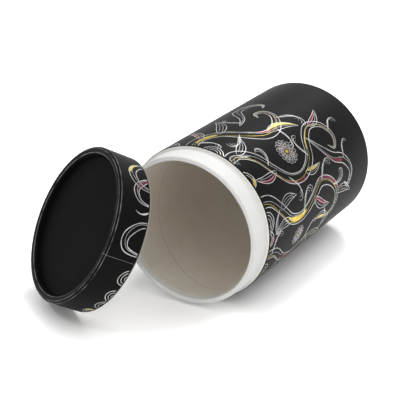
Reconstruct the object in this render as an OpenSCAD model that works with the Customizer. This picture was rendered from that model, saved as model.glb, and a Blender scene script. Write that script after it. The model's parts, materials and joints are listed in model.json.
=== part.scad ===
// Round paper gift tube with a lift-off lid.
// The tube lies on its side along +Y, with its open neck towards -Y. The lid is off: it
// stands on its open edge and leans on the neck. The origin is the centre of the tube's
// base, in the plane of its rim, and the surface that everything lies on is half a tube
// diameter below it.

/* [Tube] */
// Outside diameter of the wrapped tube and of the lid
tube_d = 80; // [50:1:120]
// Length of the black part of the tube, from the shoulder to the base rim
body_len = 115.5; // [60:0.5:220]
// How far the white neck stands out of the tube
neck_len = 12; // [6:0.5:30]
// Wall of the outer board tube
outer_board_t = 1.6; // [1.2:0.1:2.4]
// Wall of the inner board tube, which makes the neck
inner_board_t = 1.7; // [1.2:0.1:2.4]

/* [Paper] */
// Thickness of every glued paper
paper_t = 0.15; // [0.1:0.05:0.3]
// Width of the glued lap where a wrapping paper meets itself
lap_w = 8; // [4:0.5:14]
// How far the neck paper is turned into the mouth
turn_in = 4; // [2:0.5:10]
// How far the neck paper runs on under the outer tube
tuck = 10; // [4:1:25]

/* [Cut ends] */
// Rounding that the cutter presses into the printed paper where a tube ends in a cut
edge_round = 0.35; // [0.35:0.05:1]

/* [Rolled rims] */
// Slot left between the wall and the leg that is rolled back inside it
fold_gap = 0.3; // [0.1:0.1:1]
// Radius of the two rounded edges of a rolled rim
rim_round = 1.4; // [0.8:0.1:1.8]
// Depth of the flat end below the rim, the same in the base and in the lid
recess = 3.2; // [2:0.1:6]

/* [Ends] */
// Thickness of the base board
base_board_t = 2; // [1:0.1:3]
// Thickness of the lid's top board
lid_board_t = 1.8; // [1:0.1:3]

/* [Fits] */
// Room round the neck's paper inside the outer tube, filled by glue
glue_gap = 0.1; // [0.05:0.05:0.3]
// Room between the neck's lap and the lid's lining, on each side
lid_clear = 0.1; // [0.05:0.05:0.4]
// Room between the neck's end and the lid's inside when the lid is on
head_gap = 0.35; // [0.2:0.05:2]
// Room round each end board and end paper
disc_clear = 0.1; // [0.05:0.05:0.3]

/* [Lid beside the tube] */
// How far the lid leans back from upright, in degrees
lid_tilt = 29.3; // [15:0.1:45]
// Direction that the lid's open side faces, in degrees from +X
lid_turn = 56.6; // [45:0.1:70]
// How far the lid's open end is centred beside the tube's axis
lid_aside = 39.2; // [25:0.1:60]
// Least gap between the lid's edge and the neck that it leans on
lean_gap = 0.3; // [0.1:0.1:1]

/* [Hidden] */
$fn = 96;

// Radii, from the outside in
wrap_r = tube_d / 2;
board_r = wrap_r - paper_t;
bore_r = board_r - outer_board_t;
neck_r = bore_r - glue_gap;
inner_board_r = neck_r - paper_t;
inner_bore_r = inner_board_r - inner_board_t;
mouth_r = inner_bore_r - paper_t;
lid_bore_r = neck_r + paper_t + lid_clear;
lid_board_bore_r = lid_bore_r + paper_t;

// The rolled rim holds the wall, the slot and the leg, with paper on both sides
leg_r = wrap_r - 2 * outer_board_t - fold_gap - paper_t;
leg_face_r = leg_r - paper_t;
leg_end = recess + paper_t;

// Places along the tube, measured from the neck's open end
tube_len = neck_len + body_len;
mouth_y = -tube_len;
base_board_top = leg_end + base_board_t;
neck_round = 0.5;

// The lid is as deep as the neck and everything that lies above it
lid_stack = recess + paper_t + lid_board_t + paper_t;
lid_h = neck_len + head_gap + lid_stack;

// The seams: the tube's lap faces away, the neck's shows, and the lid's is at its side
tube_lap_angle = 200;
neck_lap_angle = -105;
lid_lap_angle = -102.5;
lap_ramp = 2;
lap_step = 1;

// The lid's open end touches the supporting surface and, but for lean_gap, the neck
lid_axis = [cos(lid_tilt) * cos(lid_turn), cos(lid_tilt) * sin(lid_turn), -sin(lid_tilt)];
lean_point = -neck_r / norm([lid_axis.x, lid_axis.z]) * [lid_axis.x, 0, lid_axis.z];
lid_open_x = -lid_aside;
lid_open_z = edge_round - wrap_r + (wrap_r - edge_round) * cos(lid_tilt)
    - edge_round * sin(lid_tilt);
lid_open_y = mouth_y + ((lean_point.x - lid_open_x) * lid_axis.x
    + (lean_point.z - lid_open_z) * lid_axis.z - lean_gap) / lid_axis.y;

black_paper = "#242426";
white_paper = "#f2f2ef";
pale_board = "#e0ddd5";

// Points of an arc about c, in the plane of radius and height
function arc(c, r, a0, a1, n = 8) =
    [for (i = [0:n]) c + r * [cos(a0 + (a1 - a0) * i / n), sin(a0 + (a1 - a0) * i / n)]];

function backwards(list) = [for (i = [len(list) - 1:-1:0]) list[i]];

// The rounded outer edge of a cut end at height z_far, drawn with radius r
function pressed_edge(z_far, r) = arc([wrap_r - edge_round, z_far - edge_round], r, 90, 0, 4);

// One side of a wall, from its far end to a rim at height z0, where it rolls over and
// comes back down as a leg
function hook(far, r_out, r_leg, z0, z_leg, corner) = concat(
    far,
    arc([r_out - corner, z0 + corner], corner, 0, -90),
    arc([r_leg + corner, z0 + corner], corner, -90, -180),
    [[r_leg, z_leg]]);

// A board tube whose end is rolled in, with the rim at height 0
module rolled_board(r_in, length) {
    wall = board_r - r_in;
    slot_round = (r_in - leg_r - wall) / 2;
    far = concat([[wrap_r - edge_round, length]], pressed_edge(length, edge_round - paper_t));
    rotate_extrude()
        polygon(concat(
            hook(far, board_r, leg_r, paper_t, leg_end, rim_round - paper_t),
            backwards(hook([[r_in, length]], r_in, leg_r + wall, paper_t + wall, leg_end,
                slot_round))));
}

// The raised strip where a paper of outer radius r overlaps itself: a soft rise on one
// side, over the hidden edge, and a cut edge on the other
module lap(r, angle, z0, z1) {
    span = lap_w / r * 180 / PI;
    rise = [for (a = [0:lap_step:span]) [r + paper_t * min(1, a / lap_ramp), a]];
    top = concat(rise, [[r + paper_t, span]]);
    under = [for (p = backwards(top)) [r - paper_t / 2, p[1]]];
    translate([0, 0, z0])
        rotate([0, 0, angle])
            linear_extrude(z1 - z0)
                polygon([for (p = concat(top, under)) p[0] * [cos(p[1]), sin(p[1])]]);
}

// The printed paper round a rolled board tube, turned over the rim and down the leg
module rolled_wrap(length, lap_angle) {
    rotate_extrude()
        polygon(concat(
            hook(pressed_edge(length, edge_round), wrap_r, leg_face_r, 0, leg_end, rim_round),
            backwards(hook(pressed_edge(length, edge_round - paper_t), board_r, leg_r, paper_t,
                leg_end, rim_round - paper_t))));
    // The cutter presses the lap flat just before the cut end
    lap(wrap_r, lap_angle, rim_round, length - 2 * edge_round);
}

module disc(r, z0, z1) {
    translate([0, 0, z0])
        cylinder(r = r, h = z1 - z0);
}

module ring(r_out, r_in, z0, z1) {
    difference() {
        disc(r_out, z0, z1);
        disc(r_in, z0 - 1, z1 + 1);
    }
}

// Local heights run from the neck's open end along +Y
module along_tube() {
    translate([0, mouth_y, 0])
        rotate([-90, 0, 0])
            children();
}

// Local heights run from the base rim back towards the neck
module from_base() {
    along_tube()
        translate([0, 0, tube_len])
            mirror([0, 0, 1])
                children();
}

// Local heights run from the lid's closed rim to its open end
module in_lid() {
    translate([lid_open_x, lid_open_y, lid_open_z])
        rotate([0, 90 + lid_tilt, lid_turn])
            translate([0, 0, -lid_h])
                children();
}

module outer_tube() {
    color(pale_board)
        from_base()
            rolled_board(bore_r, body_len);
}

module outer_wrap() {
    color(black_paper)
        from_base()
            rolled_wrap(body_len, tube_lap_angle);
}

// The inner tube stands on the base board and carries the neck
module inner_tube() {
    far = tube_len - base_board_top;
    edge = neck_round - paper_t;
    color(pale_board)
        along_tube()
            rotate_extrude()
                polygon(concat(
                    [[inner_board_r, far]],
                    arc([inner_board_r - edge, neck_round], edge, 0, -90, 4),
                    arc([inner_bore_r + edge, neck_round], edge, -90, -180, 4),
                    [[inner_bore_r, far]]));
}

// White paper that comes from under the outer tube, covers the neck, folds over its end
// and is turned into the mouth
module neck_wrap() {
    edge = neck_round - paper_t;
    color(white_paper)
        along_tube() {
            rotate_extrude()
                polygon(concat(
                    [[neck_r, neck_len + tuck]],
                    arc([neck_r - neck_round, neck_round], neck_round, 0, -90, 4),
                    arc([mouth_r + neck_round, neck_round], neck_round, -90, -180, 4),
                    [[mouth_r, turn_in], [inner_bore_r, turn_in]],
                    arc([inner_bore_r + edge, neck_round], edge, -180, -90, 4),
                    arc([inner_board_r - edge, neck_round], edge, -90, 0, 4),
                    [[inner_board_r, neck_len + tuck]]));
            lap(neck_r, neck_lap_angle, neck_round, neck_len);
        }
}

module inner_lining() {
    color(white_paper)
        along_tube()
            ring(inner_bore_r, mouth_r, turn_in, tube_len - base_board_top);
}

// The base board lies between the inner tube and the leg of the rolled rim
module base_board() {
    color(pale_board)
        from_base()
            disc(bore_r - disc_clear, leg_end, base_board_top);
}

module base_cover() {
    color(black_paper)
        from_base()
            disc(leg_face_r - disc_clear, recess, leg_end);
}

module base_lining() {
    color(white_paper)
        from_base()
            disc(mouth_r - disc_clear, base_board_top, base_board_top + paper_t);
}

module lid_tube() {
    color(pale_board)
        in_lid()
            rolled_board(lid_board_bore_r, lid_h);
}

module lid_wrap() {
    color(black_paper)
        in_lid()
            rolled_wrap(lid_h, lid_lap_angle);
}

module lid_lining() {
    color(white_paper)
        in_lid()
            ring(lid_board_bore_r, lid_bore_r, leg_end + lid_board_t, lid_h);
}

module lid_board() {
    color(pale_board)
        in_lid()
            disc(lid_board_bore_r - disc_clear, leg_end, leg_end + lid_board_t);
}

module lid_cover() {
    color(black_paper)
        in_lid()
            disc(leg_face_r - disc_clear, recess, leg_end);
}

module lid_board_lining() {
    color(white_paper)
        in_lid()
            disc(lid_bore_r - disc_clear, leg_end + lid_board_t, lid_stack);
}

outer_tube();
outer_wrap();
inner_tube();
neck_wrap();
inner_lining();
base_board();
base_cover();
base_lining();
lid_tube();
lid_wrap();
lid_lining();
lid_board();
lid_cover();
lid_board_lining();
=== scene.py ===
"""Looks of a round paper gift tube with a lift-off lid: printed wraps with foil scrollwork,
the white neck paper, the linings and the end papers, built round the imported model."""

import json
import math
from collections import namedtuple
from contextlib import contextmanager
from itertools import groupby

import bmesh
import bpy
from bpy.props import FloatProperty, FloatVectorProperty, IntProperty, PointerProperty
from mathutils import Euler, Matrix, Vector
from mathutils.geometry import interpolate_bezier


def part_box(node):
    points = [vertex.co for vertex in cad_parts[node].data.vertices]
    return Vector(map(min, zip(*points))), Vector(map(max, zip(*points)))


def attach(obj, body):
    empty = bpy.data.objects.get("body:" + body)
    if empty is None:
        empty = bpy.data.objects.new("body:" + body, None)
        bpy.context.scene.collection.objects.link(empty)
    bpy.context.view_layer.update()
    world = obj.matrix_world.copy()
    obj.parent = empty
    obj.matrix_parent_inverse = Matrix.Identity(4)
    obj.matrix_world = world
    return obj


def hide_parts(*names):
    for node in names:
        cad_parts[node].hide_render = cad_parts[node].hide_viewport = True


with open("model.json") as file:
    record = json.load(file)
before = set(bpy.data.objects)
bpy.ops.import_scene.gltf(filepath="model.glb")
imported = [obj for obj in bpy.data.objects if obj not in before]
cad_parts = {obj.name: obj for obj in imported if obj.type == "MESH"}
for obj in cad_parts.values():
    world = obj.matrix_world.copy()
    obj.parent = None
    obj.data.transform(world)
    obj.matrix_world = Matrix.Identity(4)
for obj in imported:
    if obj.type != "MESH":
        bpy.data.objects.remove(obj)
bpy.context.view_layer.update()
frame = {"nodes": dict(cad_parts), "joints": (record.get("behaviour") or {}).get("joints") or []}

bl_info = {
    "name": "Paper Gift Tube",
    "version": (1, 0, 0),
    "blender": (4, 5, 0),
    "location": "View3D > Sidebar > Gift Tube",
    "description": "Papers, foil and finishes of a round gift tube with a lift-off lid",
    "category": "Add Mesh",
}

MM = 0.001
FULL_TURN = 2 * math.pi

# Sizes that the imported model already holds, in metres
TUBE_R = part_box("outer_wrap")[1].x
BODY_LEN = -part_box("outer_wrap")[0].y
MOUTH_H = -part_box("neck_wrap")[0].y
NECK_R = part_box("neck_wrap")[1].x
LINING_OUT_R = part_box("inner_lining")[1].x
BASE_RECESS = -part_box("base_cover")[1].y
BASE_LINING_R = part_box("base_lining")[1].x
BASE_LINING_BACK = -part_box("base_lining")[1].y
BASE_LINING_FACE = -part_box("base_lining")[0].y
PAPER = 0.15 * MM
# From the wall's face to the inner face of the rolled rim's leg
RIM_WALL = 3.8 * MM
LID_H = 17.65 * MM
# From the lid's rim to the face of the paper inside it
LID_STACK = 5.3 * MM
LID_BORE_R = 38.4 * MM
# How far the neck paper goes on under the outer tube
TUCK = 10 * MM

# The end papers reach the leg of the rolled rim, so that no board shows beside them
PANEL_R = TUBE_R - RIM_WALL - 0.01 * MM
# These papers are modelled a little thinner than real ones, to stay within the CAD's
WHITE_PAPER = PAPER * 0.9
LINER_PAPER = PAPER * 0.5
# The foil's face all but reaches the tube's full size, so the paper lies this much below it
FOIL_ROOM = 0.015 * MM
FOIL_DEPTH = 0.03 * MM
# Each foil lies a little deeper than the one before, so that no two faces coincide
SILVER, GOLD, CRIMSON = "silver", "gold", "crimson"
FOIL_SINK = {SILVER: 0.002 * MM, GOLD: 0.004 * MM, CRIMSON: 0.007 * MM}

# At a lap, as angles: the step at its cut edge, the pale line beside the step, and the soft
# rise over the edge that is hidden below
SEAM_STEP = 0.0006
SEAM_LINE = 0.0045
LAP_RISE = 0.04
# Only faces this near to a seam are cut for it, which leaves the far side of the round whole
SEAM_REACH = 0.2
# The pale line runs over the rim no further in from the wall than this
SEAM_RIM = 2.4 * MM

# Rows of faces up the wall and round the rim's three rounds
WALL_ROWS = 6
EDGE_ROWS = 6
RIM_ROWS = 14
INNER_RIM_ROWS = 8
# Over 1 the rim's outer side is flatter than a round
RIM_FLATNESS = 1.2

# The liner climbs this much at each turn, and its butt seam crosses +X at this height
LINER_PITCH = 70 * MM
LINER_BUTT = 59.5 * MM

# The lid's own frame: its axis is the way that the joint slides it, turned round
LID_AXIS = -Vector(frame["joints"][0]["axis"]).normalized()
LID_SIDE = Vector((-LID_AXIS.y, LID_AXIS.x, 0)).normalized()
LID_DOWN = LID_SIDE.cross(LID_AXIS)
LID_PANEL_MID = sum(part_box("lid_cover"), Vector()) / 2
LID_RIM = LID_PANEL_MID - LID_AXIS * (BASE_RECESS + PAPER / 2)
LID_TURN = Matrix((LID_DOWN, LID_SIDE, LID_AXIS)).transposed().to_4x4()

# The walls that a printed wrap goes round. Heights in a wall's frame run from its closed end's
# rim to its cut end, at length. Its lap's cut edge stands at the angle lap, and side is the way
# round that the lap runs on from there. Its drawing starts from the angle art. Core is how
# strong a pale line shows at its cut end.
Wall = namedtuple("Wall", "frame length lap side art core")
WALLS = {
    "tube": Wall(Matrix.Rotation(math.radians(90), 4, "X"), BODY_LEN, math.radians(148.5), 1,
                 math.radians(39), 0.0),
    "lid": Wall(Matrix.Translation(LID_RIM) @ LID_TURN, LID_H, math.radians(-91), -1, 0.0, 0.8),
}
BASE_FRAME = WALLS["tube"].frame
NECK_LAP = math.radians(93)

# The way that the studio's light mostly comes from
DOME_TOP = (0.2, 0.35, 0.915)
# Each lamp's name, place, target, size in metres and watts
LAMPS = (("key", (-0.05, 0.85, 0.95), (0.0, -0.07, 0.0), 0.3, 4.5),
         ("top", (0.5, 0.1, 1.1), (0.0, -0.07, 0.0), 0.6, 2.0),
         ("window", (-0.45, -0.62, 0.86), (0.0, -0.1, 0.0), 0.1, 0.9),
         ("mouth fill", (0.2, -1.2, 0.3), (0.0, -0.1, 0.0), 0.4, 2.5))
# How much whiter than it is the ground is seen, as in an overexposed packshot
GROUND_GAIN = 0.64
# The camera, from a fit to the object's outlines: metres, degrees down and round, and the
# lens in millimetres
CAMERA_AT = (0.2960, -0.6064, 0.2591)
CAMERA_DOWN = 23.307
CAMERA_ROUND = 31.008
CAMERA_LENS = 114.62


def linear(colour):
    """A #rrggbb colour as linear RGBA."""
    parts = [int(colour[i:i + 2], 16) / 255 for i in (1, 3, 5)]
    return [c / 12.92 if c <= 0.04045 else ((c + 0.055) / 1.055) ** 2.4 for c in parts] + [1.0]


def node(tree, kind, inputs=(), stops=(), **settings):
    """Adds a node. Each of its inputs is a value or what feeds it: a socket, or a node, which
    stands for its first output in use. Stops are a colour ramp's places and colours."""
    made = tree.nodes.new("ShaderNode" + kind)
    for key, value in settings.items():
        setattr(made, key, value)
    for socket, source in dict(inputs).items():
        if isinstance(source, bpy.types.Node):
            source = next(output for output in source.outputs if output.enabled)
        if isinstance(source, bpy.types.NodeSocket):
            tree.links.new(source, made.inputs[socket])
        else:
            made.inputs[socket].default_value = source
    for i, (place, colour) in enumerate(stops):
        made.color_ramp.elements[i].position = place
        made.color_ramp.elements[i].color = linear(colour)
    return made


def new_tree(owner):
    """The emptied node tree of a new material or world."""
    owner.use_nodes = True
    owner.node_tree.nodes.clear()
    return owner.node_tree


def per_mm(size):
    """The noise scale whose features are about size millimetres across."""
    return 1 / (size * MM)


def local_position(tree, place):
    """Object coordinates in a piece's own upright frame."""
    location, rotation, _ = place.decompose()
    return node(tree, "Mapping", {
        "Vector": node(tree, "TexCoord").outputs["Object"], "Location": location,
        "Rotation": rotation.to_euler()}, vector_type="TEXTURE")


def from_axis(tree, where):
    """How far a point in a piece's own frame lies from its axis."""
    flat = node(tree, "VectorMath", {0: where, 1: (1, 1, 0)}, operation="MULTIPLY")
    return node(tree, "VectorMath", {0: flat}, operation="LENGTH")


def closeness(tree, value, centre, half):
    """One where a value meets a centre, falling to nothing half a width away."""
    off = node(tree, "Math", {0: value, 1: centre}, operation="SUBTRACT")
    size = node(tree, "Math", {0: off}, operation="ABSOLUTE")
    return node(tree, "MapRange", {"Value": size, "From Min": half, "From Max": half * 0.3})


def showing_rays(tree):
    """One on the rays that show the background: the camera's own, and those that a shiny or a
    clear surface sends on."""
    rays = node(tree, "LightPath").outputs
    sent = node(tree, "Math", {0: rays["Is Glossy Ray"], 1: rays["Is Transmission Ray"]},
                operation="MAXIMUM")
    return node(tree, "Math", {0: rays["Is Camera Ray"], 1: sent}, operation="MAXIMUM")


def black_paper(name, wall, core, shine):
    """Matt black art paper: a soft grey bloom where light grazes it, as strong as shine asks
    for, a faint pebble, painted highlight lines along the creases of the rolled rim, and at the cut
    end as much of a pale line as core asks for, where the film has parted from the white paper."""
    tree = new_tree(bpy.data.materials.new(name))
    where = local_position(tree, wall.frame)
    drift = node(tree, "TexNoise", {"Vector": where, "Scale": per_mm(28), "Detail": 3.0})
    base = node(tree, "ValToRGB", {"Fac": drift}, [(0.3, "#0b0b0c"), (0.7, "#101011")])
    # The fibres are drawn about twice as coarse as real ones, so that they show
    fibre = node(tree, "TexNoise", {"Vector": where, "Scale": per_mm(0.5), "Detail": 4.0,
                                    "Roughness": 0.65})
    height = node(tree, "SeparateXYZ", {"Vector": where}).outputs["Z"]
    radius = from_axis(tree, where)
    # Three creases run round the rim: the wall's, the crown's outer one and its inner one
    half = 0.22 * MM
    outside = node(tree, "Math", {0: radius, 1: TUBE_R - 1 * MM}, operation="GREATER_THAN")
    low = node(tree, "Math", {0: closeness(tree, height, 1.0 * MM, half), 1: outside},
               operation="MULTIPLY")
    crown = node(tree, "Math", {0: closeness(tree, radius, TUBE_R - 1.15 * MM, half),
                                1: closeness(tree, radius, TUBE_R - RIM_WALL + 0.5 * MM, half)},
                 operation="MAXIMUM")
    crease = node(tree, "Math", {0: low, 1: crown}, operation="MAXIMUM")
    # Painted highlight: a lighter grey is mixed in along the creases, broken into stretches by
    # noise
    highlight_breakup = node(tree, "TexNoise", {"Vector": where, "Scale": per_mm(5), "Detail": 6.0})
    broken_highlight = node(tree, "MapRange", {"Value": highlight_breakup, "From Min": 0.3, "From Max": 0.62})
    crease_highlight = node(tree, "Math", {0: crease, 1: broken_highlight}, operation="MULTIPLY")
    highlighted = node(tree, "Mix", {"Factor": crease_highlight, "A": base, "B": linear("#8e8e8e")},
                data_type="RGBA")
    cut = node(tree, "MapRange", {
        "Value": height, "From Min": wall.length - 0.6 * MM,
        "From Max": wall.length - 0.45 * MM, "To Max": core})
    parted = node(tree, "Mix", {"Factor": cut, "A": highlighted, "B": linear("#c4c1b8")},
                  data_type="RGBA")
    rough = node(tree, "MapRange", {"Value": fibre, "To Min": 0.44, "To Max": 0.56})
    # The creases are also made smoother
    polish = node(tree, "Math", {0: crease, 1: 0.16}, operation="MULTIPLY")
    smooth = node(tree, "Math", {0: rough, 1: polish}, operation="SUBTRACT")
    bump = node(tree, "Bump", {"Height": fibre, "Strength": 0.25, "Distance": 0.02 * MM})
    # A velvety film is a weaker mirror than a smooth one and has a bloom of its own
    shader = node(tree, "BsdfPrincipled", {
        "Base Color": parted, "Roughness": smooth, "Normal": bump, "IOR": 1.45,
        "Specular IOR Level": shine, "Sheen Weight": shine / 4, "Sheen Roughness": 0.35})
    node(tree, "OutputMaterial", {"Surface": shader})


def dry_fibres(tree, where, base, grain, fleck, tooth, rough, line=None):
    """What papers and board without a film share: fibres that fleck the tone and give a dry
    tooth. Grain is the fibres' size in millimetres, detail and roughness, fleck a colour and a
    share, and tooth the bump's strength and its depth in millimetres. A line is drawn darker."""
    size, detail, harshness = grain
    fibre = node(tree, "TexNoise", {"Vector": where, "Scale": per_mm(size), "Detail": detail,
                                    "Roughness": harshness})
    flecks = node(tree, "ValToRGB", {"Fac": fibre}, [(0.3, fleck[0]), (0.6, "#ffffff")])
    tone = node(tree, "Mix", {"Factor": fleck[1], "A": base, "B": flecks}, data_type="RGBA",
                blend_type="MULTIPLY")
    if line:
        tone = node(tree, "Mix", {"Factor": line, "A": tone, "B": linear("#7d7568")},
                    data_type="RGBA")
    bump = node(tree, "Bump", {"Height": fibre, "Strength": tooth[0], "Distance": tooth[1] * MM})
    shader = node(tree, "BsdfPrincipled", {
        "Base Color": tone, "Normal": bump, "Roughness": rough, "IOR": 1.5})
    node(tree, "OutputMaterial", {"Surface": shader})


def pale_paper(name, place, tones, grain, rough):
    """Uncoated paper: fine fibre clouding in its tone and a dry, barely toothed surface."""
    tree = new_tree(bpy.data.materials.new(name))
    where = local_position(tree, place)
    cloud = node(tree, "TexNoise", {"Vector": where, "Scale": per_mm(6), "Detail": 5.0})
    base = node(tree, "ValToRGB", {"Fac": cloud}, [(0.35, tones[0]), (0.65, tones[1])])
    dry_fibres(tree, where, base, (grain, 5.0, 0.7), ("#f0f0f0", 0.6), (0.3, 0.03), rough)


def liner_paper(name, place):
    """Cream liner paper, clouded and dry, with a thin darker line on a slant where one winding
    butts against the next."""
    tree = new_tree(bpy.data.materials.new(name))
    where = local_position(tree, place)
    axes = node(tree, "SeparateXYZ", {"Vector": where}).outputs
    turn = node(tree, "Math", {0: axes["Y"], 1: axes["X"]}, operation="ARCTAN2")
    wound = node(tree, "Math", {0: turn, 1: LINER_PITCH / FULL_TURN}, operation="MULTIPLY")
    climb = node(tree, "Math", {0: axes["Z"], 1: wound}, operation="SUBTRACT")
    along = node(tree, "Math", {0: climb, 1: LINER_PITCH, 2: 0.0}, operation="WRAP")
    butt = closeness(tree, along, LINER_BUTT, 0.45 * MM)
    line = node(tree, "Math", {0: butt, 1: 0.3}, operation="MULTIPLY")
    cloud = node(tree, "TexNoise", {"Vector": where, "Scale": per_mm(9), "Detail": 6.0})
    base = node(tree, "ValToRGB", {"Fac": cloud}, [(0.3, "#efe7da"), (0.7, "#f4ede2")])
    dry_fibres(tree, where, base, (0.7, 6.0, 0.7), ("#eeebe6", 0.7), (0.35, 0.04), 0.72, line)


def pressed_board(name, place):
    """Pressed board, seen at its cut ends: pale, with the plies as fine rings round the tube
    and short darker fibres."""
    tree = new_tree(bpy.data.materials.new(name))
    where = local_position(tree, place)
    plies = node(tree, "Math", {0: from_axis(tree, where), 1: FULL_TURN / (0.4 * MM)},
                 operation="MULTIPLY")
    wave = node(tree, "Math", {0: plies}, operation="SINE")
    spread = node(tree, "MapRange", {"Value": wave, "From Min": -1.0})
    base = node(tree, "ValToRGB", {"Fac": spread}, [(0.0, "#f1efea"), (1.0, "#faf9f6")])
    dry_fibres(tree, where, base, (0.6, 6.0, 0.75), ("#dedbd5", 0.8), (0.5, 0.05), 0.8)


def hot_foil(name, tones, rough):
    """Hot-stamped metal foil on paper: bright, with a slight grain from the paper below and
    patches where the foil took less well."""
    tree = new_tree(bpy.data.materials.new(name))
    where = node(tree, "TexCoord").outputs["Object"]
    patch = node(tree, "TexNoise", {"Vector": where, "Scale": per_mm(7), "Detail": 3.0})
    base = node(tree, "ValToRGB", {"Fac": patch}, [(0.35, tones[0]), (0.6, tones[1])])
    grain = node(tree, "TexNoise", {"Vector": where, "Scale": per_mm(0.3), "Detail": 3.0})
    bump = node(tree, "Bump", {"Height": grain, "Strength": 0.2, "Distance": 0.01 * MM})
    shader = node(tree, "BsdfPrincipled", {
        "Base Color": base, "Normal": bump, "Metallic": 1.0, "Roughness": rough})
    node(tree, "OutputMaterial", {"Surface": shader})


def finish_of(name):
    """A finish by its name."""
    found = bpy.data.materials.get(name)
    if found is None:
        raise RuntimeError(f"the finish {name} has not been made yet")
    return found


def pick(piece):
    """Makes a piece the only one selected, and the active one."""
    bpy.ops.object.select_all(action="DESELECT")
    piece.select_set(True)
    bpy.context.view_layer.objects.active = piece


@contextmanager
def editing(piece):
    """Edit mode, on one piece."""
    pick(piece)
    bpy.ops.object.mode_set(mode="EDIT")
    yield
    bpy.ops.object.mode_set(mode="OBJECT")


def arc(centre, radius, start, end, steps):
    """Points of an arc in the plane of radius and height, angles in degrees."""
    turns = [math.radians(start + (end - start) * i / steps) for i in range(steps + 1)]
    return [(centre[0] + radius * math.cos(a), centre[1] + radius * math.sin(a)) for a in turns]


def upright(radius, low, high, rows):
    """Points of a straight wall, from one height to another."""
    return [(radius, low + (high - low) * i / rows) for i in range(rows + 1)]


def lathe(name, profile, columns):
    """Starts from a circle and pulls it along the profile of (radius, height), edge loop by
    edge loop."""
    bpy.ops.object.select_all(action="DESELECT")
    bpy.ops.mesh.primitive_circle_add(vertices=columns, radius=profile[0][0],
                                      location=(0, 0, profile[0][1]))
    piece = bpy.context.object
    piece.name = piece.data.name = name
    bpy.ops.object.transform_apply()
    with editing(piece):
        bpy.ops.mesh.select_all(action="SELECT")
        for (r0, z0), (r1, z1) in zip(profile, profile[1:]):
            bpy.ops.mesh.extrude_edges_move(TRANSFORM_OT_translate={"value": (0, 0, z1 - z0)})
            bpy.ops.transform.resize(value=(r1 / r0, r1 / r0, 1), center_override=(0, 0, z1))
    return piece


def rim_profile(size, outer, length):
    """The wrap's face from the cut end, whose edge the cutter has pressed round, down the wall,
    over the rolled rim and down the leg. The rim's outer side has a crease above and below."""
    leg = TUBE_R - RIM_WALL
    corner, inner, press = size.rim_round, size.rim_inner_round, size.edge_round
    points = arc((outer - press, length - press), press, 90, 0, EDGE_ROWS)
    reach = length - press - corner
    points += [(outer, corner + reach * (1 - i / WALL_ROWS)) for i in range(1, WALL_ROWS)]
    for i in range(RIM_ROWS + 1):
        turn = math.radians(90 * i / RIM_ROWS)
        points.append((outer - corner + corner * math.cos(turn) ** RIM_FLATNESS,
                       corner - corner * math.sin(turn) ** RIM_FLATNESS))
    points += arc((leg + inner, inner), inner, -90, -180, INNER_RIM_ROWS)
    return points + [(leg, BASE_RECESS + PAPER * 0.8)]


def cut_seam(piece, angle, side):
    """Adds edges along the piece at an angle about its axis, where the cut edge of a lapped
    paper stands: two side by side for its step, and one that bounds its pale line."""
    with editing(piece):
        for place in (angle - side * SEAM_STEP / 2, angle + side * SEAM_STEP / 2,
                      angle + side * SEAM_LINE):
            bpy.ops.mesh.select_all(action="DESELECT")
            for face in bmesh.from_edit_mesh(piece.data).faces:
                middle = face.calc_center_median()
                apart = math.atan2(middle.y, middle.x) - place
                apart = (apart + math.pi) % FULL_TURN - math.pi
                face.select_set(abs(apart) < SEAM_REACH)
            bmesh.update_edit_mesh(piece.data)
            bpy.ops.mesh.bisect(plane_co=(0, 0, 0),
                                plane_no=(-math.sin(place), math.cos(place), 0))


def past_seam(point, angle, side):
    """How far round the axis a point lies past a seam, on the side that the lap covers."""
    return (side * (math.atan2(point.y, point.x) - angle)) % FULL_TURN


def lap_share(point, angle, side, width):
    """How much of its thickness a lapped paper is lifted by at a point: all of it at once at
    the cut edge, and softly less over the hidden one."""
    past = past_seam(point, angle, side)
    if past > width:
        return 0.0
    share = min(1.0, (width - past) / LAP_RISE)
    return share * share * (3 - 2 * share)


def raise_lap(piece, angle, side, width, height):
    """Lifts the paper away from the axis by its own thickness where it lies over itself."""
    mesh = bmesh.new()
    mesh.from_mesh(piece.data)
    mesh.normal_update()
    for vert in mesh.verts:
        away = Vector((vert.co.x, vert.co.y, 0)).normalized()
        lift = height * lap_share(vert.co, angle, side, width)
        vert.co += away * max(0.0, away.dot(vert.normal)) * lift
    mesh.to_mesh(piece.data)
    mesh.free()


def mark_seam_line(piece, angle, side):
    """Gives the strip at a lap's cut edge the piece's second finish."""
    for face in piece.data.polygons:
        past = past_seam(face.center, angle - side * SEAM_STEP, side)
        if past < SEAM_LINE + SEAM_STEP and face.center.xy.length > TUBE_R - SEAM_RIM:
            face.material_index = 1


def thicken(piece, thickness):
    """Gives a paper its thickness, inwards from the face that shows."""
    bpy.context.view_layer.objects.active = piece
    solid = piece.modifiers.new("Paper", "SOLIDIFY")
    solid.thickness = thickness
    solid.offset = -1.0
    solid.use_quality_normals = True
    bpy.ops.object.modifier_apply(modifier=solid.name)


def outwards(piece):
    """Turns every face outwards."""
    with editing(piece):
        bpy.ops.mesh.select_all(action="SELECT")
        bpy.ops.mesh.remove_doubles(threshold=1e-7)
        bpy.ops.mesh.normals_make_consistent(inside=False)


def turn_faces(piece, inwards=False):
    """Turns the faces of an open shell of revolution away from its axis, or towards it."""
    outwards(piece)
    wall = max(piece.data.polygons, key=lambda face: face.area)
    towards = wall.normal.dot(Vector((wall.center.x, wall.center.y, 0))) < 0
    if towards != inwards:
        piece.data.flip_normals()


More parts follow.
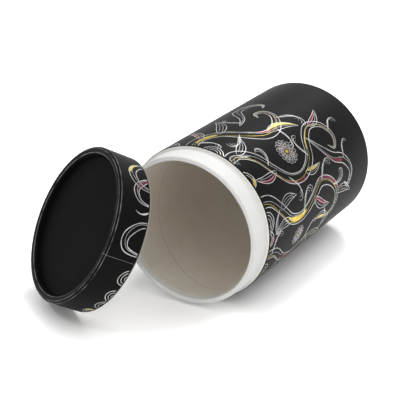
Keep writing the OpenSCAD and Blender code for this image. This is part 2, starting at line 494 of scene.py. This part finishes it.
def finish_piece(piece, place, body, finishes, stands_for=None, angle=35):
    """Puts a piece where it goes, with its place in its mesh, smooths its shading, gives it its
    finishes and its body, and hides the CAD node that it stands for."""
    piece.data.transform(place)
    pick(piece)
    bpy.ops.object.shade_smooth_by_angle(angle=math.radians(angle))
    for finish in finishes:
        piece.data.materials.append(finish_of(finish))
    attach(piece, body)
    if stands_for:
        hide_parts(stands_for)


class GiftTubeSizes(bpy.types.PropertyGroup):
    rim_round: FloatProperty(
        name="Rim rounding", description="Radius of the rolled rim's outer edge",
        default=1.4 * MM, min=0.5 * MM, max=1.8 * MM, unit="LENGTH")
    rim_inner_round: FloatProperty(
        name="Inner rim rounding", description="Radius of the rolled rim's inner edge",
        default=1.3 * MM, min=0.3 * MM, max=1.8 * MM, unit="LENGTH")
    edge_round: FloatProperty(
        name="Cut edge rounding", description="Radius pressed into the paper at a cut end",
        default=0.35 * MM, min=0.2 * MM, max=0.8 * MM, unit="LENGTH")
    lap_width: FloatProperty(
        name="Lap width", description="Width of the strip where a paper is glued on itself",
        default=8 * MM, min=4 * MM, max=14 * MM, unit="LENGTH")
    neck_turn_in: FloatProperty(
        name="Turn-in", description="How far the neck paper is turned into the mouth",
        default=4 * MM, min=2 * MM, max=10 * MM, unit="LENGTH")
    columns: IntProperty(
        name="Columns", description="Faces round each paper", default=360, min=96, max=720)
    foil_line: FloatProperty(
        name="Foil line", description="Width of the foil scrollwork's main line",
        default=0.4 * MM, min=0.15 * MM, max=1.5 * MM, unit="LENGTH")


class GiftTubeColours(bpy.types.PropertyGroup):
    floor: FloatVectorProperty(
        name="Floor", description="Colour of the ground under the tube",
        default=linear("#f4f4f4")[:3], size=3, subtype="COLOR", min=0.0, max=1.0)
    sky: FloatVectorProperty(
        name="Surround", description="Colour of the soft light all round",
        default=linear("#ffffff")[:3], size=3, subtype="COLOR", min=0.0, max=1.0)


class GIFTTUBE_OT_finishes(bpy.types.Operator):
    """Make the finishes of the papers, the board and the foils"""
    bl_idname = "gift_tube.finishes"
    bl_label = "Finishes"

    def execute(self, context):
        white = ("#f0f0ed", "#f3f3f1")
        for body, wall in WALLS.items():
            black_paper(f"Matt black paper, {body}", wall, wall.core, 0.07)
            black_paper(f"Dull black end paper, {body}", wall, 0.0, 0.02)
            pale_paper(f"White uncoated paper, {body}", wall.frame, white, 0.5, 0.6)
            pressed_board(f"Pressed board, {body}", wall.frame)
        pale_paper("White paper core", BASE_FRAME, ("#73716c", "#8d8b85"), 0.4, 0.7)
        liner_paper("Cream liner paper", BASE_FRAME)
        hot_foil("Silver hot foil", ("#a6a6a6", "#d4d4d2"), 0.58)
        hot_foil("Gold hot foil", ("#b89d34", "#d8c55c"), 0.46)
        hot_foil("Crimson hot foil", ("#8a2740", "#b84660"), 0.42)
        return {"FINISHED"}


class GIFTTUBE_OT_boards(bpy.types.Operator):
    """Finish the boards that the papers are glued to"""
    bl_idname = "gift_tube.boards"
    bl_label = "Boards"

    def execute(self, context):
        for name, body in (("outer_tube", "tube"), ("inner_tube", "tube"),
                           ("base_board", "tube"), ("lid_tube", "lid"), ("lid_board", "lid")):
            slots = frame["nodes"][name].material_slots
            slots[0].material = finish_of(f"Pressed board, {body}")
        return {"FINISHED"}


class GIFTTUBE_OT_wraps(bpy.types.Operator):
    """Model the black paper of the tube and of the lid, rolled over the rims and lapped"""
    bl_idname = "gift_tube.wraps"
    bl_label = "Black wraps"

    def execute(self, context):
        size = context.scene.gift_tube_sizes
        for body, node_name in (("tube", "outer_wrap"), ("lid", "lid_wrap")):
            wall = WALLS[body]
            piece = lathe(f"{body}_wrap_paper",
                          rim_profile(size, TUBE_R - FOIL_ROOM, wall.length), size.columns)
            cut_seam(piece, wall.lap, wall.side)
            turn_faces(piece)
            raise_lap(piece, wall.lap, wall.side, size.lap_width / TUBE_R, PAPER)
            thicken(piece, PAPER - FOIL_ROOM)
            mark_seam_line(piece, wall.lap, wall.side)
            finish_piece(piece, wall.frame, body,
                         (f"Matt black paper, {body}", "White paper core"),
                         node_name)
        return {"FINISHED"}


class GIFTTUBE_OT_neck(bpy.types.Operator):
    """Model the white paper that covers the neck, folds over its end and is turned in"""
    bl_idname = "gift_tube.neck"
    bl_label = "Neck paper"

    def execute(self, context):
        size = context.scene.gift_tube_sizes
        mouth_r = LINING_OUT_R - PAPER
        fold = 0.45 * MM
        profile = (upright(NECK_R, BODY_LEN - TUCK, MOUTH_H - fold, 8)[:-1]
                   + arc((NECK_R - fold, MOUTH_H - fold), fold, 0, 90, 8)
                   + arc((mouth_r + fold, MOUTH_H - fold), fold, 90, 180, 8)
                   + [(mouth_r, MOUTH_H - size.neck_turn_in)])
        piece = lathe("neck_paper", profile, size.columns)
        cut_seam(piece, NECK_LAP, 1)
        turn_faces(piece)
        raise_lap(piece, NECK_LAP, 1, size.lap_width / NECK_R, WHITE_PAPER)
        thicken(piece, WHITE_PAPER)
        finish_piece(piece, BASE_FRAME, "tube", ("White uncoated paper, tube",),
                     "neck_wrap")
        return {"FINISHED"}


class GIFTTUBE_OT_linings(bpy.types.Operator):
    """Model the cream lining of the tube and the white lining of the lid"""
    bl_idname = "gift_tube.linings"
    bl_label = "Linings"

    def execute(self, context):
        size = context.scene.gift_tube_sizes
        top = MOUTH_H - size.neck_turn_in
        for body, wall, thickness, finish, slot, node_name, angle in (
                ("tube", upright(LINING_OUT_R - PAPER, BASE_LINING_FACE, top, 40), LINER_PAPER,
                 "Cream liner paper", "liner_paper", "inner_lining", 60),
                ("lid", upright(LID_BORE_R, LID_STACK - PAPER, LID_H, 4), WHITE_PAPER,
                 "White uncoated paper, lid", "white_paper", "lid_lining", 35)):
            piece = lathe(f"{body}_lining_paper", wall, size.columns)
            turn_faces(piece, inwards=True)
            thicken(piece, thickness)
            finish_piece(piece, WALLS[body].frame, body, (finish,), node_name, angle)
        return {"FINISHED"}


class GIFTTUBE_OT_end_papers(bpy.types.Operator):
    """Model the papers on both faces of the base board and of the lid's top board"""
    bl_idname = "gift_tube.end_papers"
    bl_label = "End papers"

    def execute(self, context):
        size = context.scene.gift_tube_sizes
        recess = (PANEL_R, BASE_RECESS + PAPER, BASE_RECESS)
        black = ("Dull black end paper", "black_paper")
        white = ("White uncoated paper", "white_paper")
        for name, (radius, back, face), body, node_name, (finish, slot) in (
                ("base_panel_paper", recess, "tube", "base_cover", black),
                ("lid_panel_paper", recess, "lid", "lid_cover", black),
                ("base_inside_paper", (BASE_LINING_R, BASE_LINING_BACK, BASE_LINING_FACE),
                 "tube", "base_lining", white),
                ("lid_inside_paper", (LID_BORE_R - 0.1 * MM, LID_STACK - PAPER, LID_STACK),
                 "lid", "lid_board_lining", white)):
            piece = self.sheet(name, radius, back, face, size.columns)
            finish_piece(piece, WALLS[body].frame, body, (f"{finish}, {body}",), node_name)
        return {"FINISHED"}

    def sheet(self, name, radius, back, face, columns):
        """A round paper glued on a board: a disc whose edge is eased where the die cut it, with
        rings of edges towards its middle."""
        ease = abs(face - back) * 0.6
        drop = math.copysign(ease, face - back)
        profile = [(radius, back), (radius, face - drop),
                   (radius - ease * 0.35, face - drop * 0.3), (radius - ease, face)]
        profile += [(radius * share, face) for share in (0.97, 0.7, 0.3)]
        piece = lathe(name, profile, columns)
        with editing(piece):
            bpy.ops.mesh.edge_face_add()
            bpy.ops.mesh.select_all(action="DESELECT")
            bpy.ops.mesh.select_non_manifold()
            bpy.ops.mesh.edge_face_add()
        outwards(piece)
        return piece


# Foil scrollwork, drawn flat in millimetres and laid on the round wall. On the tube the first
# number runs from the shoulder to the base and the second upwards round the tube from the
# middle of its shown side. On the lid the first runs from the open edge to the rolled rim.

# Lines are sampled about this often, and curls more finely
STEP = 0.7
CURL_STEP = 0.5
# A stretch of a strip that is left by the paper's edge is dropped if it has fewer rows
SHORTEST_STRIP = 6
# Widths of lesser lines, and what a line's tip keeps, as shares of a line's width
OUTLINE, HAIRLINE, TIP = 0.8, 0.45, 0.3


def polar(angle):
    """A flat unit vector at an angle."""
    return Vector((math.cos(angle), math.sin(angle)))


def smooth_path(points):
    """A smooth line through points."""
    pts = [Vector(p) for p in points]
    pts = [2 * pts[0] - pts[1]] + pts + [2 * pts[-1] - pts[-2]]
    path = []
    for p0, p1, p2, p3 in zip(pts, pts[1:], pts[2:], pts[3:]):
        count = max(2, round((p2 - p1).length / STEP) + 1)
        part = interpolate_bezier(p1, p1 + (p2 - p0) / 6, p2 - (p3 - p1) / 6, p2, count)
        path += part if not path else part[1:]
    return path


def normals(path):
    """A unit normal at each point of a path, to its left."""
    made = []
    for i in range(len(path)):
        ahead = path[min(i + 1, len(path) - 1)] - path[max(i - 1, 0)]
        made.append(Vector((-ahead.y, ahead.x)).normalized())
    return made


def tendril(start, heading, length, bend, curl):
    """A line that sets off at a heading in degrees and bends more and more, by so many degrees
    a millimetre, until it curls up."""
    path, angle = [Vector(start)], math.radians(heading)
    count = max(4, round(length / CURL_STEP))
    for i in range(count):
        angle += math.radians(bend + (curl - bend) * (i / count) ** 2) * CURL_STEP
        path.append(path[-1] + polar(angle) * CURL_STEP)
    return path


class Drawing:
    """Foil strips by colour. A strip is a list of rows, each a few points across it. Nothing is
    drawn nearer to the paper's cut edge than low, and a main line is as wide as line."""

    def __init__(self, low, line):
        self.low = low
        self.line = line
        self.strips = {SILVER: [], GOLD: [], CRIMSON: []}

    def add(self, rows, colour):
        """Keeps the stretches of a strip that lie past the paper's cut edge."""
        for kept, run in groupby(rows, lambda row: min(p.x for p in row) >= self.low):
            run = list(run)
            if kept and len(run) >= min(SHORTEST_STRIP, len(rows)):
                self.strips[colour].append(run)

    def stroke(self, path, width, taper, colour=SILVER):
        """A line whose ends taper off over a share of its length."""
        rows, last = [], len(path) - 1
        for i, (point, side) in enumerate(zip(path, normals(path))):
            t = i / last
            end = min(1.0, min(t, 1 - t) / taper)
            half = self.line * width / 2 * (TIP + (1 - TIP) * math.sin(end * math.pi / 2))
            rows.append([point + side * half, point - side * half])
        self.add(rows, colour)

    def fill(self, one, other, colour):
        """Foil between two lines of equally many points."""
        self.add([[a.lerp(b, k / 3) for k in range(4)] for a, b in zip(one, other)], colour)

    def ribbon(self, points, width, lines, fills, closed):
        """Lines that flow side by side, swell, part and draw together again, one of four gold.
        A fill is (between which line and the next, from, to, colour). Closed is the share of
        its swelling that the ribbon has behind it where it starts."""
        path = smooth_path(points)
        sides, last = normals(path), len(path) - 1
        made = []
        for k in range(lines):
            offset = 2 * k / (lines - 1) - 1
            line = []
            for i, (point, side) in enumerate(zip(path, sides)):
                t = i / last
                spread = max(0, math.sin(math.pi * (closed + (1 - closed) * t))) ** 0.7
                # Each line wavers a little about its own place, out of step with the rest
                drift = offset + 0.24 * math.sin(8.0 * t + 2.4 * k)
                line.append(point + side * drift * width * spread)
            made.append(line)
        for k, line in enumerate(made):
            colour = GOLD if lines == 4 and k == 1 else SILVER
            self.stroke(line, 1.0 if k in (0, lines - 1) else HAIRLINE, 0.1, colour)
        for gap, start, end, colour in fills:
            i, j = round(last * start), round(last * end)
            self.tint(made[gap][i:j], made[gap + 1][i:j], colour)

    def tint(self, one, other, colour):
        """A gap between two lines: solid and drawn out to points, or hatched on the slant."""
        last = len(one) - 1
        if colour == GOLD:
            reach = [0.4 * math.sqrt(max(0, math.sin(math.pi * i / last)))
                     for i in range(last + 1)]
            self.fill([a.lerp(b, 0.5 - r) for a, b, r in zip(one, other, reach)],
                      [a.lerp(b, 0.5 + r) for a, b, r in zip(one, other, reach)], colour)
            return
        for foot, head in zip(one, other[1:]):
            self.stroke([foot.lerp(head, t) for t in (0.1, 0.5, 0.9)], 0.85, 0.4, colour)

    def spray(self, start, heading, length, bend, curl, count):
        """Tendrils that leave one point almost together and end one after another."""
        for k in range(count):
            self.stroke(tendril(start, heading + 6.0 * k, length * (1 - 0.14 * k),
                                bend * (1 - 0.12 * k), curl), 0.9 * (1 - 0.22 * k), 0.3)

    def leaf(self, base, tip, width, bend, colour):
        """A long pointed leaf: its outline, two fine veins along it and one half filled."""
        base, tip = Vector(base), Vector(tip)
        along = tip - base
        across = Vector((-along.y, along.x)).normalized()
        middle = (base + tip) / 2 + across * bend
        count = max(14, round(along.length / STEP * 1.2))
        rib = interpolate_bezier(base, base.lerp(middle, 0.8), tip.lerp(middle, 0.8), tip, count)
        last = len(rib) - 1
        swell = [width * math.sin(math.pi * (i / last) ** 0.75) ** 0.9 if 0 < i < last else 0
                 for i in range(count)]
        edge = [side * wide for side, wide in zip(normals(rib), swell)]
        for share in (-1, -1 / 3, 1 / 3, 1):
            outer = abs(share) == 1
            cut = 0 if outer else last // 6
            line = [point + out * share for point, out in zip(rib, edge)]
            self.stroke(line[cut:last + 1 - cut], OUTLINE if outer else HAIRLINE, 0.2)
        if colour:
            inside = [point + out * 0.95 for point, out in zip(rib, edge)]
            self.tint(inside[2:-2], rib[2:-2], colour)

    def blossom(self, centre, radius, petals, turn, colour):
        """A round many-petalled flower: three rings of narrow petals round a gold heart."""
        centre = Vector(centre)
        for ring, size in enumerate((1.0, 0.7, 0.44)):
            count = petals - 3 * ring
            for k in range(count):
                middle = math.radians(turn) + FULL_TURN * (k + 0.5 * ring) / count
                self.petal(centre, radius * size, middle, math.pi / count * 0.92,
                           colour if ring == 1 else None)
        heart = [polar(math.pi * i / 12) * radius * 0.15 for i in range(13)]
        self.fill([centre + p for p in heart], [centre + Vector((p.x, -p.y)) for p in heart],
                  GOLD)

    def petal(self, centre, outer, middle, half, colour):
        """A petal's blunt outline about its middle angle, and the vein along it."""
        inner = outer * 0.45
        edge = []
        for i in range(13):
            t = i / 12 * 2 - 1
            reach = inner + (outer - inner) * (1 - t ** 4) ** 0.6
            edge.append(centre + polar(middle + half * t) * reach)
        self.stroke(edge, 0.5, 0.08)
        vein = [centre + polar(middle) * (inner + (outer - inner) * t) for t in (0.1, 0.4, 0.75)]
        self.stroke(vein, 1.3 if colour else 0.4, 0.4, colour or SILVER)

    def arches(self, centre, radius, lines, gap, lean, colour):
        """Arcs one inside another, leaning a little, as on a cloud or a wave."""
        made = []
        for k in range(lines):
            r = radius - gap * k
            points = []
            for i in range(25):
                way = polar(math.radians(-100 + 200 * i / 24)) * r
                points.append(Vector((centre[0] + way.x * 1.15 - 0.3 * k,
                                      centre[1] + way.y + lean * way.x)))
            self.stroke(points, 1.0 - 0.17 * k, 0.15)
            made.append(points)
        if colour:
            self.tint(made[0][4:14], made[1][4:14], colour)


def tube_drawing(line):
    """Long ribbons that flow from the shoulder among leaves, tendrils and round flowers. The
    rows hold what the drawing's ribbon, leaf and spray ask for."""
    art = Drawing(0.45, line)
    for ribbon in (
            (((-5, 38), (8, 40), (19, 36), (28, 27), (39, 20), (51, 20), (60, 26), (61, 33),
              (55, 35), (52, 31)), 3.2, 4, ((1, 0.1, 0.28, GOLD), (2, 0.5, 0.72, CRIMSON)), 0.3),
            (((-5, 17), (7, 18), (16, 12), (22, 2), (31, -6), (43, -8), (54, -3), (61, 6), (71, 11),
              (81, 8), (85, 0), (81, -6), (76, -3)), 3.0, 4,
             ((0, 0.3, 0.48, CRIMSON), (1, 0.6, 0.72, GOLD)), 0.3),
            (((-5, -8), (6, -10), (14, -17), (23, -25), (35, -27), (47, -22), (57, -17), (67, -20),
              (74, -28), (73, -37), (65, -39), (61, -33)), 3.0, 4,
             ((1, 0.26, 0.44, GOLD), (2, 0.58, 0.78, CRIMSON)), 0.3),
            (((-5, -36), (8, -38), (20, -46), (33, -50), (46, -46), (58, -47), (70, -54),
              (80, -55)), 2.6, 4, ((1, 0.35, 0.55, CRIMSON),), 0.25),
            (((36, 33), (46, 37), (56, 46), (66, 46), (70, 39), (66, 36)), 2.0, 3, (), 0.0),
            (((62, 7), (68, -2), (76, -10), (86, -14), (92, -22), (88, -29), (83, -26)), 2.3, 3,
             ((0, 0.25, 0.55, CRIMSON),), 0.0)):
        art.ribbon(*ribbon)

    art.blossom((41, 6), 7.0, 15, 8, CRIMSON)
    art.blossom((33, -38), 5.4, 13, 0, CRIMSON)

    for leaf in (
            ((20, 36), (40, 50), 2.6, -4.0, None), ((42, 20), (66, 14), 2.6, 4.5, GOLD),
            ((10, 40), (22, 55), 2.2, -3.0, CRIMSON), ((8, 18), (24, 27), 2.4, -3.0, None),
            ((23, 1), (4, 3), 2.3, 3.5, CRIMSON), ((46, -8), (62, -8), 2.0, -2.5, GOLD),
            ((14, -17), (31, -15), 2.4, 3.5, None), ((24, -26), (6, -27), 2.3, -3.5, None),
            ((48, -22), (66, -32), 2.6, -3.5, CRIMSON), ((74, -29), (92, -34), 2.4, 3.5, None),
            ((66, -39), (50, -36), 2.0, -2.5, GOLD), ((47, -46), (60, -58), 2.2, -3.0, None),
            ((20, -46), (8, -56), 2.2, 3.0, None), ((72, 11), (88, 17), 2.2, -3.0, CRIMSON)):
        art.leaf(*leaf)

    for spray in (
            ((60, 25), -30, 24, 2, -30, 4), ((50, 20), -95, 20, 3, -36, 3),
            ((27, 28), -160, 20, 3, -32, 3), ((14, 14), 150, 18, -2, 34, 3),
            ((30, -5), -60, 20, 3, -34, 3), ((20, 5), 30, 18, 3, 34, 3),
            ((55, -2), 110, 18, 2, -36, 3), ((84, 3), 30, 16, 3, -38, 3),
            ((13, -16), -150, 19, 2, 34, 3), ((36, -27), 60, 22, 2, -32, 4),
            ((58, -17), 40, 20, 3, -34, 4), ((70, -23), -20, 20, 2, 34, 4),
            ((64, -39), -100, 16, 3, -38, 3), ((44, -46), 70, 18, 2, -38, 3),
            ((60, -48), 30, 16, -2, 38, 3), ((4, -37), 60, 18, 2, -36, 3),
            ((4, 39), -60, 17, 2, -38, 3), ((86, -14), 60, 15, 3, -38, 3),
            ((40, 34), 100, 15, 3, -40, 3), ((76, -54), 50, 13, 3, -42, 2)):
        art.spray(*spray)

    for centre, radius, lean, colour in (
            ((-1, 27), 5.6, 0.2, None), ((-1.5, 5), 5.0, -0.2, GOLD),
            ((-1, -19), 5.6, 0.15, None), ((-1, -27), 4.4, -0.1, CRIMSON),
            ((-1, -47), 5.4, 0.2, None), ((-1, 52), 5.2, 0.1, None)):
        art.arches(centre, radius, 3, 1.25, lean, colour)
    return art


def lid_drawing(line):
    """Loops, arches and wisps that the lid's open edge cuts across."""
    art = Drawing(0.7, line)
    for points, width, fills in (
            (((-4, -119), (4, -117), (9, -111), (7, -104), (0, -101), (-5, -102)), 1.7,
             ((0, 0.2, 0.5, GOLD),)),
            (((-4, -109), (3, -106), (8, -100), (6, -94), (-1, -92)), 1.3,
             ((1, 0.2, 0.6, CRIMSON),)),
            (((-5, -83), (4, -82), (10, -76), (9, -70), (2, -68), (-4, -69)), 1.6, ()),
            (((-4, 12), (5, 14), (9, 20), (6, 27), (-3, 29)), 1.7, ((1, 0.3, 0.6, GOLD),)),
            (((-4, 88), (4, 90), (9, 97), (5, 104), (-4, 105)), 1.7, ((0, 0.3, 0.6, CRIMSON),))):
        art.ribbon(points, width, 3, fills, 0.15)
    for around, radius, lines, lean, colour in (
            (-56, 4.6, 4, 0.25, None), (-43, 4.4, 3, -0.2, None), (-35, 4.0, 3, 0.2, None),
            (-24, 4.4, 3, -0.2, GOLD), (-8, 5.0, 3, 0.2, None), (2, 3.8, 3, -0.2, None),
            (42, 5.0, 3, 0.2, CRIMSON), (52, 4.0, 3, -0.2, None), (70, 4.8, 3, 0.2, None),
            (116, 4.6, 3, 0.1, None)):
        art.arches((-0.6, around), radius, lines, 1.15, lean, colour)
    for around, heading, length, bend, curl in (
            (-90, 20, 10, 3, -30), (34, 20, 11, 3, -34), (60, -20, 11, -3, 34),
            (80, 10, 10, 3, -34)):
        art.spray((-1, around), heading, length, bend, curl, 3)
    return art


def on_wall(wall, point, radius, lap_turn):
    """A point of a drawing on its wall, over the lap too, whose width lap_turn is an angle."""
    turn = wall.art + point.y * MM / TUBE_R
    way = Vector((math.cos(turn), math.sin(turn), 0))
    spot = way * (radius + PAPER * lap_share(way, wall.lap, wall.side, lap_turn))
    return wall.frame @ Vector((spot.x, spot.y, wall.length - point.x * MM))


def foil_mesh(name, strips, wall, lap_turn, sink):
    """Lays strips on the round wall, each closed all round and at its two ends."""
    mesh = bmesh.new()
    for rows in strips:
        top, low = ([[mesh.verts.new(on_wall(wall, p, radius, lap_turn)) for p in row]
                     for row in rows] for radius in (TUBE_R - sink, TUBE_R - FOIL_DEPTH))
        rings = [[*face, *reversed(back)] for face, back in zip(top, low)]
        for one, other in zip(rings, rings[1:]):
            for k in range(len(one)):
                mesh.faces.new((one[k - 1], one[k], other[k], other[k - 1]))
        for i in (0, -1):
            for k in range(1, len(rows[0])):
                mesh.faces.new((top[i][k - 1], low[i][k - 1], low[i][k], top[i][k]))
    data = bpy.data.meshes.new(name)
    mesh.to_mesh(data)
    mesh.free()
    piece = bpy.data.objects.new(name, data)
    bpy.context.scene.collection.objects.link(piece)
    outwards(piece)
    return piece


class GIFTTUBE_OT_foil(bpy.types.Operator):
    """Stamp the silver, gold and crimson foil on the tube and on the lid"""
    bl_idname = "gift_tube.foil"
    bl_label = "Foil"

    def execute(self, context):
        size = context.scene.gift_tube_sizes
        line, lap_turn = size.foil_line / MM, size.lap_width / TUBE_R
        for body, art in (("tube", tube_drawing(line)), ("lid", lid_drawing(line))):
            for colour, strips in art.strips.items():
                piece = foil_mesh(f"{body}_{colour}_foil", strips, WALLS[body], lap_turn,
                                  FOIL_SINK[colour])
                finish_piece(piece, Matrix.Identity(4), body,
                             (f"{colour.capitalize()} hot foil",))
        return {"FINISHED"}


class GIFTTUBE_OT_stage(bpy.types.Operator):
    """Set the pale floor, the soft light and the camera"""
    bl_idname = "gift_tube.stage"
    bl_label = "Stage"

    def execute(self, context):
        colours = context.scene.gift_tube_colours
        bpy.ops.object.select_all(action="DESELECT")
        bpy.ops.mesh.primitive_plane_add(size=8, location=(0, 0, -TUBE_R))
        floor = context.object
        floor.name = "floor"
        floor.data.materials.append(self.floor_finish(colours.floor))
        self.surround(context, colours.sky)
        for lamp in LAMPS:
            self.lamp(*lamp)
        self.camera(context)
        context.scene.view_settings.view_transform = "Standard"
        return {"FINISHED"}

    def floor_finish(self, colour):
        """White studio paper: even and matt, and seen overexposed, as a ground that is to come
        out white is."""
        made = bpy.data.materials.new("White studio paper")
        tree = new_tree(made)
        shader = node(tree, "BsdfPrincipled", {
            "Base Color": [*colour, 1], "Roughness": 0.6, "IOR": 1.35})
        gain = node(tree, "Math", {0: showing_rays(tree), 1: GROUND_GAIN}, operation="MULTIPLY")
        over = node(tree, "BsdfDiffuse", {"Color": gain})
        both = node(tree, "AddShader", {0: shader, 1: over})
        node(tree, "OutputMaterial", {"Surface": both})
        return made

    def surround(self, context, colour):
        """A soft white dome, brightest above and behind the object and dim towards the camera,
        seen at full white."""
        context.scene.world = bpy.data.worlds.new("Studio")
        tree = new_tree(context.scene.world)
        side = node(tree, "VectorMath", {
            0: node(tree, "TexCoord").outputs["Generated"], 1: DOME_TOP},
            operation="DOT_PRODUCT")
        dome = node(tree, "MapRange", {
            "Value": side, "From Min": -0.05, "From Max": 0.8, "To Min": 0.05, "To Max": 0.85},
            interpolation_type="SMOOTHSTEP")
        strength = node(tree, "Mix", {"Factor": showing_rays(tree), "A": dome, "B": 1.0},
                        data_type="FLOAT")
        light = node(tree, "Background", {"Color": [*colour, 1], "Strength": strength})
        node(tree, "OutputWorld", {"Surface": light})

    def lamp(self, name, location, target, size, watts):
        """A square lamp that faces its target."""
        bpy.ops.object.light_add(type="AREA", location=location)
        lamp = bpy.context.object
        lamp.name = name
        lamp.data.shape = "SQUARE"
        lamp.data.size = size
        lamp.data.energy = watts
        away = Vector(target) - Vector(location)
        lamp.rotation_euler = away.to_track_quat("-Z", "Y").to_euler()

    def camera(self, context):
        bpy.ops.object.camera_add(location=CAMERA_AT, rotation=Euler(
            (math.radians(90 - CAMERA_DOWN), 0, math.radians(CAMERA_ROUND))))
        camera = context.object
        camera.data.sensor_width = 36
        camera.data.lens = CAMERA_LENS
        camera.data.clip_start = 0.01
        context.scene.camera = camera


PIECES = (GIFTTUBE_OT_finishes, GIFTTUBE_OT_boards, GIFTTUBE_OT_wraps, GIFTTUBE_OT_neck,
          GIFTTUBE_OT_linings, GIFTTUBE_OT_end_papers, GIFTTUBE_OT_foil, GIFTTUBE_OT_stage)


class GIFTTUBE_PT_panel(bpy.types.Panel):
    bl_label = "Gift Tube"
    bl_idname = "GIFTTUBE_PT_panel"
    bl_space_type = "VIEW_3D"
    bl_region_type = "UI"
    bl_category = "Gift Tube"

    def draw(self, context):
        layout = self.layout
        for group in (context.scene.gift_tube_sizes, context.scene.gift_tube_colours):
            box = layout.box()
            for key in group.bl_rna.properties.keys():
                if key not in ("rna_type", "name"):
                    box.prop(group, key)
        for operator in PIECES:
            layout.operator(operator.bl_idname)


CLASSES = (GiftTubeSizes, GiftTubeColours, *PIECES, GIFTTUBE_PT_panel)


def register():
    for each in CLASSES:
        bpy.utils.register_class(each)
    bpy.types.Scene.gift_tube_sizes = PointerProperty(type=GiftTubeSizes)
    bpy.types.Scene.gift_tube_colours = PointerProperty(type=GiftTubeColours)


def unregister():
    del bpy.types.Scene.gift_tube_colours
    del bpy.types.Scene.gift_tube_sizes
    for each in reversed(CLASSES):
        bpy.utils.unregister_class(each)


def main():
    register()
    bpy.ops.gift_tube.finishes()
    bpy.ops.gift_tube.boards()
    bpy.ops.gift_tube.wraps()
    bpy.ops.gift_tube.neck()
    bpy.ops.gift_tube.linings()
    bpy.ops.gift_tube.end_papers()
    bpy.ops.gift_tube.foil()
    bpy.ops.gift_tube.stage()


if __name__ == "__main__":
    main()
